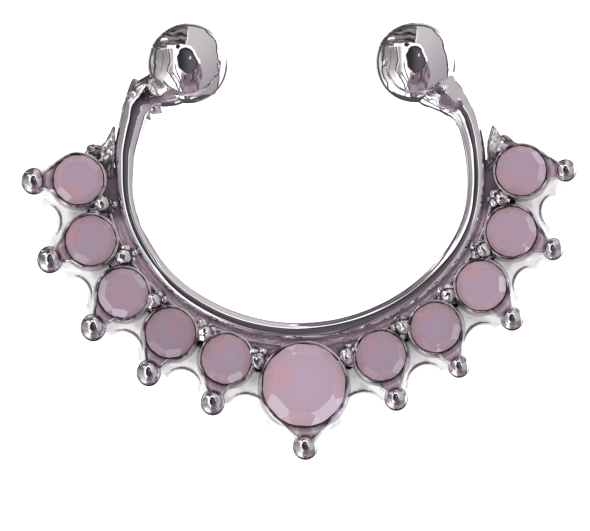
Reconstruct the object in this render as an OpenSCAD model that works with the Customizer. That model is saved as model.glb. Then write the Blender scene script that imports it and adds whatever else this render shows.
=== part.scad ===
// Clip-on septum ring that lies on its back. +Z is the way the stones face, +Y points from the crown to the
// grip balls, and +X to the right as the stones are seen with the balls at the top. Millimetres.
// The origin is the middle of the footprint, on the surface that the ring lies on.

/* [Hoop] */
// Inner width of the hoop at its widest line
hoop_inner_w = 10.1; // [9:0.1:12]
// Inner drop of the hoop, from its widest line to its lowest point
hoop_inner_drop = 4.35; // [4:0.05:5]
// Radius of the hoop's side arcs, as a share of the drop of the wire's centre line
side_round = 0.88; // [0.75:0.01:0.92]
// Diameter of the hoop's round wire
wire_d = 0.6; // [0.5:0.05:0.8]
// Angle above the widest line at which the arc ends and the straight arm starts
hoop_end_angle = 21; // [15:1:26]

/* [Arms and grip balls] */
// Diameter of each grip ball
ball_d = 2.45; // [2.2:0.05:2.8]
// Distance from the middle of the ring to the left ball's centre
left_ball_out = 3.28; // [3.1:0.02:3.7]
// Height of the left ball's centre above the widest line
left_ball_up = 3.53; // [3.3:0.02:3.9]
// Distance from the middle of the ring to the right ball's centre
right_ball_out = 3.56; // [3.1:0.02:3.7]
// Height of the right ball's centre above the widest line
right_ball_up = 3.42; // [3.3:0.02:3.9]
// How far the wire's surface steps out where it starts to thicken, at the crown's end and at the arm
wire_step = 0.02; // [0.01:0.005:0.03]
// Inward lean of the left arm
left_arm_lean = 21; // [12:1:24]
// Inward lean of the right arm, which was bent a little less
right_arm_lean = 15; // [12:1:24]
// Length of the straight, thickening arm
arm_l = 0.95; // [0.8:0.05:1.1]
// Diameter of the shoulder where the arm turns to the ball
shoulder_d = 0.9; // [0.75:0.05:1]
// Diameter of the neck where it runs into the ball
neck_d = 1.75; // [1.5:0.05:1.9]

/* [Stones] */
// Girdle diameter of a small stone
small_stone_d = 1.5; // [1.3:0.05:1.6]
// Girdle diameter of the centre stone
large_stone_d = 2.5; // [2.2:0.05:2.8]
// Diameter across the flats of the table, as a share of the girdle
table_share = 0.62; // [0.5:0.01:0.7]
// Height of the faceted top above the girdle, as a share of the girdle
top_share = 0.15; // [0.1:0.01:0.18]
// Depth of the faceted bottom below the girdle, as a share of the girdle
bottom_share = 0.4; // [0.3:0.01:0.42]
// Gap between a stone and its cup
seat_gap = 0.02; // [0.01:0.005:0.03]

/* [Crown] */
// Height of the cups' rims above the flat back
crown_h = 1.65; // [1.5:0.05:1.9]
// Height of the land between the hoop and the cups, which is never below the middle of the wire
land_h = 1.25; // [1.25:0.05:1.4]
// Height of the low webs between neighbouring spurs
web_h = 1.2; // [1:0.05:1.35]
// Height of the spurs beside the tip beads
spur_h = 1.4; // [1.2:0.05:1.5]
// Thickness of each cup's rim
rim_t = 0.08; // [0.06:0.01:0.12]
// Depth of the stone's girdle below the rim
girdle_sink = 0.06; // [0.04:0.01:0.1]
// Outward slope of the outer walls, measured at the back
draft = 0.18; // [0.12:0.01:0.22]
// Height of the spurs' undersides above the flat back
spur_low = 0.4; // [0.3:0.05:0.6]
// Metal between neighbouring girdles
stone_space = 0.36; // [0.3:0.01:0.45]
// Width of the land beside the centre stone
land_w = 0.06; // [0.04:0.01:0.1]
// Width of the land at the two ends of the crown
land_end_w = 0.14; // [0.1:0.01:0.2]

/* [Tips and claws] */
// Diameter of a tip bead
tip_d = 0.7; // [0.6:0.02:0.76]
// Distance from a cup's rim to its tip bead's centre
tip_reach = 0.49; // [0.4:0.01:0.56]
// Width of a spur where it meets its tip bead
spur_w = 0.5; // [0.4:0.02:0.56]
// Diameter of the larger claw bead between two cups
claw_d = 0.38; // [0.3:0.02:0.42]
// Diameter of the smaller claw bead beside it, towards the hoop
claw_small_d = 0.28; // [0.2:0.02:0.3]
// Height of the end horns' tips beyond the centres of the end stones
horn_rise = 1.58; // [1.4:0.02:1.7]
// Height of the end horns above the flat back
horn_h = 1.4; // [1.2:0.05:1.5]
// Diameter of the leaf bead at the foot of each horn
leaf_d = 0.3; // [0.24:0.02:0.36]

/* [Hidden] */
$fn = 48;
facets = 8;
side_stones = 5;
overlap = 0.05;
// Degrees by which the wire's thicker upper stretch starts inside the crown
wire_lap = 1;
// Width of a stone's point, and the width that its facets run out to past the girdle, as shares of the girdle
point_share = 0.04;
girdle_run_out = 1.03;
// Depth to which a cup's bore stays round, as a share of the faceted bottom's depth
bore_share = 0.12;
// How far the neck's end is set from the ball's middle, outwards, as a share of the room round it
neck_set_out = 0.6;
// Lean of each spur towards the middle of the crown, in degrees, from the end of the crown to the centre
spur_lean = [0, 3, 8, 4.5, 0];
// The end of the crown, seen from the end cup: [share of the cup's radius outwards, share of it upwards]
end_outline = [[1, 0.62], [-0.12, 1.1], [-0.6, 1.22]];
leaf_place = [-0.5, 1.15];
// The horn's tip and foot: shares of the way from the end cup to the hoop's centre line
horn_tip_share = [0.72, 0.76];
horn_foot_share = 0.88;
horn_foot_up = 0.6;

wire_r = wire_d / 2;
ball_r = ball_d / 2;
tip_r = tip_d / 2;
claw_r = claw_d / 2;
small_r = small_stone_d / 2;
large_r = large_stone_d / 2;
wire_z = ball_r;
tip_z = spur_h - tip_r / 3;
land_z = max(land_h, wire_z);
girdle_z = crown_h - girdle_sink;
small_cup_r = small_r + seat_gap + rim_t;
large_cup_r = large_r + seat_gap + rim_t;

// The hoop's centre line is an oval of one bottom arc and two side arcs that meet it smoothly
oval_a = hoop_inner_w / 2 + wire_r;
oval_b = hoop_inner_drop + wire_r;
side_r = oval_b * side_round;
bottom_r = (oval_a * oval_a + oval_b * oval_b - 2 * oval_a * side_r) / (2 * (oval_b - side_r));
bottom_c = [0, bottom_r - oval_b];
side_c = [oval_a - side_r, 0];
join_angle = atan2(side_c.x, bottom_c.y);

// The cups follow the oval at a distance, one pitch apart
cup_off = wire_r + land_w + small_cup_r;
cup_end_off = wire_r + land_end_w + small_cup_r;
first_pitch = small_r + large_r + stone_space;
pitch = small_stone_d + stone_space;
joint_run = join_angle * PI / 180 * (bottom_r + cup_off);

// The middle of the footprint, seen from the middle of the hoop's widest line
top_reach = max(left_ball_up, right_ball_up) + ball_r;
bottom_reach = oval_b + wire_r + 2 * large_cup_r + tip_reach + tip_r;
shift = [0, (bottom_reach - top_reach) / 2, 0];

SIDES = ["left", "right"];

// Direction away from the oval where its normal is turned by an angle from straight down
function out_from(angle) = [sin(angle), -cos(angle)];

// Point at a distance outside the oval, where the normal has an angle from straight down
function beside_oval(angle, off) =
    angle <= join_angle
        ? bottom_c + (bottom_r + off) * out_from(angle)
        : side_c + (side_r + off) * out_from(angle);

// Cup k counts from the end of the crown (1) to the cup beside the centre stone (side_stones)
function steps_from_middle(k) = side_stones - k;
function cup_run(k) = first_pitch + steps_from_middle(k) * pitch;
function cup_angle(k) =
    cup_run(k) < joint_run
        ? cup_run(k) / (bottom_r + cup_off) * 180 / PI
        : join_angle + (cup_run(k) - joint_run) / (side_r + cup_off) * 180 / PI;
function cup_distance(k) =
    cup_off + (cup_end_off - cup_off) * steps_from_middle(k) / (side_stones - 1);
function cup_at(k) = beside_oval(cup_angle(k), cup_distance(k));
function tip_at(k) =
    cup_at(k) + (small_cup_r + tip_reach) * out_from(cup_angle(k) - spur_lean[k - 1]);

large_cup_at = beside_oval(0, wire_r + large_cup_r);
large_tip_at = large_cup_at + (large_cup_r + tip_reach) * out_from(0);

// The centre cup counts as one more cup after the last small one
function is_large(k) = k > side_stones;
function any_cup_angle(k) = is_large(k) ? 0 : cup_angle(k);
function any_cup_at(k) = is_large(k) ? large_cup_at : cup_at(k);
function any_tip_at(k) = is_large(k) ? large_tip_at : tip_at(k);
function any_cup_r(k) = is_large(k) ? large_cup_r : small_cup_r;

// Where circles of radius ra round a and rb round b cross, on the hoop's side of the line from a to b
function crossing(a, ra, b, rb) =
    let (d = norm(b - a), u = (b - a) / d, along = (ra * ra - rb * rb + d * d) / (2 * d))
    a + along * u + sqrt(max(0, ra * ra - along * along)) * [u.y, -u.x];

module both_sides() {
    children();
    mirror([1, 0, 0]) children();
}

// Places its children at a point and turns their +X to another point
module towards(from, to) {
    translate([from.x, from.y, 0])
        rotate([0, 0, atan2(to.y - from.y, to.x - from.x)]) children();
}

// A round taper that lies in the ring's plane at the wire's height
module taper(from, to, r_from, r_to) {
    translate([0, 0, wire_z])
        towards(from, to)
            rotate([0, 90, 0])
                cylinder(r1 = r_from, r2 = r_to, h = norm(to - from));
}

module ball(at, r) {
    translate([at.x, at.y, wire_z]) sphere(r = r);
}

// Sweeps a profile along an arc of the oval, between two angles from straight down
module along_arc(centre, r, from, to) {
    translate([centre.x, centre.y, 0])
        rotate([0, 0, from - 90]) rotate_extrude(angle = to - from) translate([r, 0]) children();
}

// The wire beside the crown, with the solid land that joins it to the cups. A collar round the wire and an
// upright under it cover the seam where the two arcs meet
module lower_hoop() {
    for (arc = [[bottom_c, bottom_r, 0, join_angle], [side_c, side_r, join_angle, cup_angle(1)]])
        along_arc(arc[0], arc[1], arc[2], arc[3]) {
            translate([0, wire_z]) circle(r = wire_r);
            square([cup_off, land_z]);
        }
    translate([side_c.x, side_c.y, wire_z])
        rotate([0, 0, join_angle])
            translate([0, -side_r, 0])
                rotate([0, 90, 0]) cylinder(r = wire_r + wire_step, h = 2 * overlap, center = true);
    translate(beside_oval(join_angle, 0)) cylinder(r = wire_r / 2, h = wire_z);
}

// The land's outer part, which fills the corner between two neighbouring cups and the sweep beside the wire
module land_corner(k) {
    linear_extrude(height = land_z)
        polygon([
            beside_oval(any_cup_angle(k), wire_r), any_cup_at(k),
            any_cup_at(k + 1), beside_oval(any_cup_angle(k + 1), wire_r)
        ]);
}

// The bare wire between the crown and the arm
module upper_hoop() {
    along_arc(side_c, side_r, cup_angle(1) - wire_lap, 90 + hoop_end_angle)
        translate([0, wire_z]) circle(r = wire_r + wire_step);
}

// The arm thickens from the wire to the shoulder, and the neck from the shoulder to the ball
module arm_and_ball(ball_at, lean) {
    way = [-sin(lean), cos(lean)];
    hoop_end = beside_oval(90 + hoop_end_angle, 0);
    shoulder = hoop_end + arm_l * way;
    neck_end = ball_at + (ball_d - neck_d) / 2 * [neck_set_out, -1];
    taper(hoop_end - overlap * way, shoulder, wire_r + 2 * wire_step, shoulder_d / 2);
    ball(shoulder, shoulder_d / 2 + wire_step);
    taper(shoulder, neck_end, shoulder_d / 2, neck_d / 2);
    ball(ball_at, ball_r);
}

module cup_body(at, r) {
    translate([at.x, at.y, 0]) cylinder(r1 = r + draft, r2 = r, h = crown_h);
}

// The wall that runs from a cup to its tip bead, with straight sides that narrow outwards, and the bead
module spur(cup, tip, r) {
    reach = norm(tip - cup);
    half = spur_w / 2;
    turn = acos((r - half) / reach);
    tangent = r * [cos(turn), sin(turn)];
    towards(cup, tip) {
        translate([0, 0, spur_low])
            linear_extrude(height = spur_h - spur_low)
                polygon([[0, -r / 2], [tangent.x, -tangent.y], [reach + overlap, -half],
                         [reach + overlap, half], [tangent.x, tangent.y], [0, r / 2]]);
        translate([reach, 0, tip_z]) sphere(r = tip_r);
    }
}

// The wall between two neighbouring spurs, scalloped by a round hollow that narrows towards the back
module web(k) {
    cups = [for (i = [k, k + 1]) any_cup_at(i)];
    tips = [for (i = [k, k + 1]) any_tip_at(i)];
    ends = [for (i = [0, 1]) tips[i] + tip_r * (cups[i] - tips[i]) / norm(cups[i] - tips[i])];
    middle = (tips[0] + tips[1]) / 2;
    hollow_r = norm(tips[1] - tips[0]) / 2 - spur_w / 2;
    difference() {
        linear_extrude(height = web_h) polygon([cups[0], ends[0], ends[1], cups[1]]);
        translate([middle.x, middle.y, -overlap])
            cylinder(r1 = hollow_r - draft, r2 = hollow_r, h = web_h + 2 * overlap);
    }
}

// A bead whose sides run straight down into the land
module claw_bead(at, r) {
    middle = crown_h - claw_r * 1.5;
    translate([at.x, at.y, land_z - overlap]) cylinder(r = r, h = middle - land_z + overlap);
    translate([at.x, at.y, middle]) sphere(r = r);
}

// Two claw beads that fill the corner between neighbouring cups on the hoop's side
module claws(k) {
    a = any_cup_at(k);
    b = any_cup_at(k + 1);
    at = crossing(a, any_cup_r(k) + claw_r, b, any_cup_r(k + 1) + claw_r);
    hoop_way = (at - (a + b) / 2) / norm(at - (a + b) / 2);
    claw_bead(at, claw_r);
    claw_bead(at + (claw_r + claw_small_d / 4) * hoop_way, claw_small_d / 2);
}

// The pointed end of the crown, which stands between the end cup and the hoop
module horn() {
    way_in = cup_distance(1);
    r = small_cup_r;
    lap = 2 * overlap;
    translate([cup_at(1).x, cup_at(1).y, 0]) {
        linear_extrude(height = horn_h)
            polygon(concat(
                [[-way_in, -lap], [0, -lap]],
                [for (point = end_outline) r * point],
                [for (share = horn_tip_share) [-way_in * share, horn_rise]],
                [[-way_in * horn_foot_share, r * horn_foot_up]]
            ));
        translate([r * leaf_place.x, r * leaf_place.y, horn_h]) sphere(d = leaf_d);
    }
}

// Everything that is cut out for a stone: a round bore down to the girdle and a cone for the faceted bottom
module seat(at, d) {
    r = d / 2 + seat_gap;
    deep = d * bottom_share;
    shoulder_z = girdle_z - deep * bore_share;
    translate([at.x, at.y, shoulder_z]) cylinder(r = r, h = crown_h);
    translate([at.x, at.y, girdle_z - deep - seat_gap])
        cylinder(r1 = d * point_share, r2 = r, h = shoulder_z - girdle_z + deep + seat_gap);
}

module crown_half() {
    lower_hoop();
    upper_hoop();
    for (k = [1 : side_stones]) {
        cup_body(cup_at(k), small_cup_r);
        spur(cup_at(k), tip_at(k), small_cup_r);
        web(k);
        land_corner(k);
        claws(k);
    }
    horn();
}

module ring_frame() {
    color("silver")
        translate(shift) {
            difference() {
                union() {
                    both_sides() crown_half();
                    cup_body(large_cup_at, large_cup_r);
                    spur(large_cup_at, large_tip_at, large_cup_r);
                }
                both_sides() for (k = [1 : side_stones]) seat(cup_at(k), small_stone_d);
                seat(large_cup_at, large_stone_d);
            }
            arm_and_ball([right_ball_out, right_ball_up], right_arm_lean);
            mirror([1, 0, 0]) arm_and_ball([left_ball_out, left_ball_up], left_arm_lean);
        }
}

// A round cut stone: an eight-sided top with a flat table, an eight-sided point below, and a round girdle
module cut_stone(d) {
    round_up = girdle_run_out / cos(180 / facets);
    top_h = d * top_share;
    bottom_h = d * bottom_share;
    intersection() {
        translate([0, 0, -bottom_h]) cylinder(d = d, h = bottom_h + top_h);
        union() {
            rotate([0, 0, 180 / facets])
                cylinder(d1 = d * round_up, d2 = d * table_share * round_up, h = top_h, $fn = facets);
            translate([0, 0, -bottom_h])
                cylinder(d1 = d * point_share, d2 = d * round_up, h = bottom_h, $fn = facets);
        }
    }
}

module stone(at, d) {
    color("thistle") translate(shift + [at.x, at.y, girdle_z]) cut_stone(d);
}

ring_frame();
stone(large_cup_at, large_stone_d);  // stone_centre
for (k = [1 : side_stones]) {
    mirror([1, 0, 0]) stone(cup_at(k), small_stone_d);
    stone(cup_at(k), small_stone_d);
}
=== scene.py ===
import math

import bpy
from mathutils import Matrix, Vector


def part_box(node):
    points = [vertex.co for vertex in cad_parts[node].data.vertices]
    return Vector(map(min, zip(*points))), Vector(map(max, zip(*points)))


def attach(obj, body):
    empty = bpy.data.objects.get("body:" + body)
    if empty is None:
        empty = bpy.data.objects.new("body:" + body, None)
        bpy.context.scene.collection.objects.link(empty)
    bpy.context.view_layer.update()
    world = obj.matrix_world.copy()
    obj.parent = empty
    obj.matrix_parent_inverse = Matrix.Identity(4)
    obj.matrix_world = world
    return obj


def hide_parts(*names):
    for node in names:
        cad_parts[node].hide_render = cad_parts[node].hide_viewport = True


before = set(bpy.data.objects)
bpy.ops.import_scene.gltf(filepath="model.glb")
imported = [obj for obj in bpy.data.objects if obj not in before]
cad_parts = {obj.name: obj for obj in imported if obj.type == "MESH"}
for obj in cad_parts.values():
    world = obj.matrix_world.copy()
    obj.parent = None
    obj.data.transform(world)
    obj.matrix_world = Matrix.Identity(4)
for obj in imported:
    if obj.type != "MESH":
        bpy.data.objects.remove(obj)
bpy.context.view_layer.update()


# The camera stands over the ring, which lies on its back, and leans 8 degrees towards the crown. It is far
# away, so its view is taken as parallel. All places are worked out in millimetres.
MM = 0.001
VIEW_WIDTH = 17.7
LEAN = math.radians(8)
ROLL = 0.0205
AIM = Vector((-0.2005, -0.7591, 1.225))
CAMERA_FAR = 90

sideways, upright = Vector((1, 0, 0)), Vector((0, math.cos(LEAN), math.sin(LEAN)))
right_way = math.cos(ROLL) * sideways - math.sin(ROLL) * upright
up_way = math.sin(ROLL) * sideways + math.cos(ROLL) * upright
back_way = right_way.cross(up_way)

bpy.ops.object.camera_add()
camera = bpy.context.object
camera.matrix_world = Matrix.Translation((AIM + CAMERA_FAR * back_way) * MM) @ Matrix(
    (right_way, up_way, back_way)).transposed().to_4x4()
camera.data.type = "ORTHO"
camera.data.ortho_scale = VIEW_WIDTH * MM
camera.data.clip_start, camera.data.clip_end = 0.001, 1
bpy.context.scene.camera = camera


# The metal is brass, cast from a rubber mould and plated with rhodium, then tumbled bright. It is a cool mirror
# with faint ripples. Where the mop can't reach, it keeps the fine whitish satin of the casting. The land and the
# tight floors round the stones get a painted plum shade, with the stones' colour mirrored in it, and a dark painted
# shade marks crevices, pits and edges.
RHODIUM = "#e2dfe2"
SATIN = "#f7f5f7"
PAINTED_PLUM_SHADE = "#c2a4b4"
PAINTED_SHADE = "#453d43"


def linear(code):
    parts = [int(code[i:i + 2], 16) / 255 for i in (1, 3, 5)]
    return tuple(p / 12.92 if p <= 0.04045 else ((p + 0.055) / 1.055) ** 2.4 for p in parts) + (1.0,)


def add_node(tree, kind, settings=None, links=None):
    """Adds a node, sets its attributes or input values by name or number, and links inputs to sockets"""
    node = tree.nodes.new(kind)
    for name, value in (settings or {}).items():
        if isinstance(name, str) and hasattr(node, name):
            setattr(node, name, value)
        else:
            node.inputs[name].default_value = value
    for name, socket in (links or {}).items():
        tree.links.new(socket, node.inputs[name])
    return node


def new_material(name):
    material = bpy.data.materials.new(name)
    material.use_nodes = True
    tree = material.node_tree
    return material, tree, tree.nodes["Principled BSDF"]


rhodium, tree, surface = new_material("tumbled_rhodium_plate")
spot = add_node(tree, "ShaderNodeTexCoord")
painted_plum_shade = add_node(tree, "ShaderNodeAttribute", {"attribute_name": "painted_plum_shade"})
painted_shade = add_node(tree, "ShaderNodeAttribute", {"attribute_name": "painted_shade"})
rough = add_node(tree, "ShaderNodeAttribute", {"attribute_name": "rough"})
# Ripples of about 0.3 mm left by tumbling, and grains of about 0.1 mm where the casting stays rough
ripple = add_node(tree, "ShaderNodeTexNoise", {"Scale": 3200.0, "Detail": 2.0}, {"Vector": spot.outputs["Object"]})
grain = add_node(tree, "ShaderNodeTexNoise", {"Scale": 9500.0, "Detail": 1.5, "Roughness": 0.6},
                 {"Vector": spot.outputs["Object"]})
# The satin lies in patches of about 0.4 mm
satin = add_node(tree, "ShaderNodeAttribute", {"attribute_name": "satin"})
patches = add_node(tree, "ShaderNodeTexNoise", {"Scale": 2600.0, "Detail": 2.5, "Roughness": 0.6},
                   {"Vector": spot.outputs["Object"]})
patchy = add_node(tree, "ShaderNodeMapRange", {"From Min": 0.4, "From Max": 0.52, "To Min": 0.75, "To Max": 1.0},
                  {"Value": patches.outputs["Fac"]})
skin = add_node(tree, "ShaderNodeMath", {"operation": "MULTIPLY"},
                {0: satin.outputs["Fac"], 1: patchy.outputs["Result"]})
frost = add_node(tree, "ShaderNodeMix", {"data_type": "RGBA"}, {"Factor": skin.outputs["Value"]})
frost.inputs[6].default_value, frost.inputs[7].default_value = linear(RHODIUM), linear(SATIN)
# The painted plum shade, with the stones' colour mirrored in it, is mixed into the colour
tint = add_node(tree, "ShaderNodeMix", {"data_type": "RGBA"}, {"Factor": painted_plum_shade.outputs["Fac"], 6: frost.outputs[2]})
tint.inputs[7].default_value = linear(PAINTED_PLUM_SHADE)
# Then the dark painted shade of crevices, pits, edges and dark reflections is mixed in
shade = add_node(tree, "ShaderNodeMix", {"data_type": "RGBA"}, {"Factor": painted_shade.outputs["Fac"], 6: tint.outputs[2]})
shade.inputs[7].default_value = linear(PAINTED_SHADE)
tree.links.new(shade.outputs[2], surface.inputs["Base Color"])
grain_high = add_node(tree, "ShaderNodeMath", {"operation": "MULTIPLY"},
                      {0: grain.outputs["Fac"], 1: rough.outputs["Fac"]})
# The as-cast skin scatters light, so it counts as less metallic
mirror = add_node(tree, "ShaderNodeMath", {"operation": "MULTIPLY_ADD", 1: -0.75, 2: 1.0}, {0: skin.outputs["Value"]})
mirror = add_node(tree, "ShaderNodeMath", {"operation": "MULTIPLY_ADD", 1: -0.75, "use_clamp": True},
                  {0: painted_plum_shade.outputs["Fac"], 2: mirror.outputs["Value"]})
tree.links.new(mirror.outputs["Value"], surface.inputs["Metallic"])
worn = add_node(tree, "ShaderNodeMath", {"operation": "MULTIPLY_ADD", 1: 0.55, 2: 0.04},
                {0: painted_plum_shade.outputs["Fac"]})
worn = add_node(tree, "ShaderNodeMath", {"operation": "MULTIPLY_ADD", 1: 0.4},
                {0: skin.outputs["Value"], 2: worn.outputs["Value"]})
worn = add_node(tree, "ShaderNodeMath", {"operation": "MULTIPLY_ADD", 1: 0.05},
                {0: rough.outputs["Fac"], 2: worn.outputs["Value"]})
tree.links.new(worn.outputs["Value"], surface.inputs["Roughness"])
ripples = add_node(tree, "ShaderNodeBump", {"Strength": 0.1, "Distance": 0.00002}, {"Height": ripple.outputs["Fac"]})
grains = add_node(tree, "ShaderNodeBump", {"Strength": 1.0, "Distance": 0.00006},
                  {"Height": grain_high.outputs["Value"], "Normal": ripples.outputs["Normal"]})
tree.links.new(grains.outputs["Normal"], surface.inputs["Normal"])


# The hoop is a round cast wire that thickens towards its ends. It bends inwards at the two shoulders, and each
# neck flares out into its grip ball.
HOOP = Vector((0, 1.8675, 0))
WIRE_Z = 1.225
OVAL_A, OVAL_B, SIDE_R, BOTTOM_R = 5.35, 4.65, 4.092, 5.789
JOIN = math.degrees(math.atan2(OVAL_A - SIDE_R, BOTTOM_R - OVAL_B))
WIRE_R = 0.275


def alone(piece):
    bpy.ops.object.select_all(action="DESELECT")
    piece.select_set(True)
    bpy.context.view_layer.objects.active = piece


def modify(piece, kind, **settings):
    """Puts one modifier on a piece and applies it"""
    alone(piece)
    modifier = piece.modifiers.new(kind.lower(), kind)
    for name, value in settings.items():
        setattr(modifier, name, value)
    bpy.ops.object.modifier_apply(modifier=modifier.name)


def join(pieces, name):
    bpy.ops.object.select_all(action="DESELECT")
    for piece in pieces:
        piece.select_set(True)
    bpy.context.view_layer.objects.active = pieces[0]
    if len(pieces) > 1:
        bpy.ops.object.join()
    pieces[0].name = name
    return pieces[0]


def settle(piece):
    """Writes an object's place, turn and size into its mesh"""
    alone(piece)
    bpy.ops.object.transform_apply(location=True, rotation=True, scale=True)
    return piece


def oval(angle, off=0.0, z=WIRE_Z):
    """The point off millimetres outside the hoop's centre line, at an angle from straight down"""
    lean = math.radians(abs(angle))
    way = Vector((math.sin(lean), -math.cos(lean), 0))
    middle = (0, BOTTOM_R - OVAL_B, 0) if abs(angle) <= JOIN else (OVAL_A - SIDE_R, 0, 0)
    at = Vector(middle) + ((BOTTOM_R if abs(angle) <= JOIN else SIDE_R) + off) * way
    return HOOP + Vector((math.copysign(at.x, angle), at.y, z))


def sweep(name, points, radii, fine=10, smooth=6):
    """A round bar of changing radius that follows points"""
    bpy.ops.object.select_all(action="DESELECT")
    bpy.ops.curve.primitive_bezier_curve_add()
    bar = bpy.context.object
    bar.name = name
    bar.data.splines.clear()
    line = bar.data.splines.new("NURBS")
    line.points.add(len(points) - 1)
    for knot, at, r in zip(line.points, points, radii):
        knot.co, knot.radius = (*at, 1), r
    line.use_endpoint_u, line.order_u, line.resolution_u = True, 4, smooth
    bar.data.dimensions, bar.data.bevel_depth, bar.data.bevel_resolution = "3D", 1.0, fine
    bar.data.use_fill_caps = True
    bpy.ops.object.convert(target="MESH")
    return bar


def finish_piece(piece, node, material, sharp=40):
    """Brings a finished piece from millimetres to metres and hands it to the frame"""
    piece.scale = (MM, MM, MM)
    settle(piece)
    piece.data.materials.clear()
    piece.data.materials.append(material)
    bpy.ops.object.shade_smooth_by_angle(angle=math.radians(sharp))
    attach(piece, "root")
    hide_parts(node)


def paint(piece, name, value_at):
    """Stores a number between 0 and 1 at each corner of the mesh, worked out from its place in millimetres"""
    layer = piece.data.attributes.new(name, "FLOAT", "POINT")
    for i, vertex in enumerate(piece.data.vertices):
        layer.data[i].value = max(0.0, min(1.0, value_at(vertex.co)))


def ease(value, low, high):
    """0 below low, 1 above high and a smooth step between"""
    t = max(0.0, min(1.0, (value - low) / (high - low)))
    return t * t * (3 - 2 * t)


left_arm = [((-4.98, 1.85), 0.395), ((-4.87, 2.25), 0.425), ((-4.68, 2.57), 0.45), ((-4.36, 2.72), 0.51),
            ((-3.98, 2.86), 0.67), ((-3.64, 3.06), 0.84), ((-3.42, 3.24), 0.93)]
right_arm = [((5.10, 1.62), 0.33), ((4.93, 1.98), 0.39), ((4.70, 2.24), 0.53), ((4.42, 2.46), 0.63),
             ((4.14, 2.68), 0.71), ((3.88, 2.98), 0.83), ((3.74, 3.15), 0.90)]


def wire_radius(angle):
    return WIRE_R + (0.085 if angle < 0 else 0.045) * ease(abs(angle), 80, 112)


def wire_off(angle):
    """Both sides of the hoop run a touch further in, the left one more"""
    if angle < 0:
        return -0.11 * ease(-angle, 35, 60) * ease(-angle, 108, 94)
    return -0.04 * ease(angle, 70, 85) * ease(angle, 105, 95)


down = list(range(-104, 105, 4))
wire_points = [oval(a, wire_off(a)) for a in down]
wire_radii = [wire_radius(a) for a in down]
for end, arm in ((0, left_arm), (1, right_arm)):
    more = [HOOP + Vector((*at, WIRE_Z)) for at, r in arm]
    thick = [r for at, r in arm]
    wire_points = more[::-1] + wire_points if end == 0 else wire_points + more
    wire_radii = thick[::-1] + wire_radii if end == 0 else wire_radii + thick
hoop_wire = sweep("hoop_wire", wire_points, wire_radii, fine=12, smooth=5)


def distance_to_hoop(co):
    """How far outside the wire's centre line a place lies"""
    flat = Vector((abs(co.x), co.y - HOOP.y))
    lean = math.degrees(math.atan2(flat.x, (BOTTOM_R - OVAL_B) - flat.y))
    if lean <= JOIN:
        return (flat - Vector((0, BOTTOM_R - OVAL_B))).length - BOTTOM_R
    return (flat - Vector((OVAL_A - SIDE_R, 0))).length - SIDE_R


# Filing has left faint lengthwise flats on the wire, which split what it mirrors into lines
FLATS, FLAT_DEPTH = 9, 0.0045
for vertex in hoop_wire.data.vertices:
    beside, above = distance_to_hoop(vertex.co), vertex.co.z - WIRE_Z
    along = math.atan2(vertex.co.x, HOOP.y - vertex.co.y)
    depth = FLAT_DEPTH * (1 - ease(vertex.co.y - HOOP.y, 0.8, 1.6))
    depth *= math.sin(FLATS * math.atan2(above, beside) + 1.5 * math.sin(2.3 * along) + 0.6 * math.sin(9 * along))
    out = Vector((vertex.co.x, vertex.co.y - HOOP.y, 0)).normalized() * beside + Vector((0, 0, above))
    vertex.co += out.normalized() * depth
# The necks are a little lumpy from the mould
necks = hoop_wire.vertex_groups.new(name="necks")
for vertex in hoop_wire.data.vertices:
    off = vertex.co - HOOP
    necks.add([vertex.index], ease(off.y, 1.2, 2.2), "REPLACE")
dents = bpy.data.textures.new("dents", "CLOUDS")
dents.noise_scale, dents.noise_depth = 0.4, 1
modify(hoop_wire, "DISPLACE", texture=dents, texture_coords="LOCAL", strength=0.11, mid_level=0.5, vertex_group="necks")


# The grip balls are cast on the ends of the wire. Both are true balls; the left joint stays rough from casting,
# with a small stub on its outer side, and the right one is smoother with a few pits in its seam.
BALL_R = 1.225


def round_blank(at, r, fine, turn=0.0, scale=(1, 1, 1)):
    """A round bead without its dents"""
    bpy.ops.object.select_all(action="DESELECT")
    bpy.ops.mesh.primitive_ico_sphere_add(subdivisions=fine, radius=r, location=at, rotation=(0, 0, turn), scale=scale)
    return settle(bpy.context.object)


def hull(pieces, name):
    """Stretches one skin round several shapes"""
    shape = join(pieces, name)
    bpy.ops.object.mode_set(mode="EDIT")
    bpy.ops.mesh.select_all(action="SELECT")
    bpy.ops.mesh.convex_hull()
    bpy.ops.object.mode_set(mode="OBJECT")
    return shape


waves = bpy.data.textures.new("waves", "CLOUDS")
waves.noise_scale, waves.noise_depth = 0.9, 0
left_ball = HOOP + Vector((-3.28, 3.53, WIRE_Z))
right_ball = HOOP + Vector((3.56, 3.42, WIRE_Z))
balls = []
for name, at in (("left_grip_ball", left_ball), ("right_grip_ball", right_ball)):
    ball = round_blank(at, BALL_R, 6)
    ball.name = name
    modify(ball, "DISPLACE", texture=waves, texture_coords="LOCAL", strength=0.03, mid_level=0.5)
    balls.append(ball)


def casting_lump(name, spots):
    """A skin round small spheres, each given as place and radius, which stands on the neck"""
    lump = hull([round_blank(HOOP + Vector((*at, WIRE_Z)), r, 3) for at, r in spots], name)
    modify(lump, "SUBSURF", levels=2, render_levels=2)
    return lump


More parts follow.
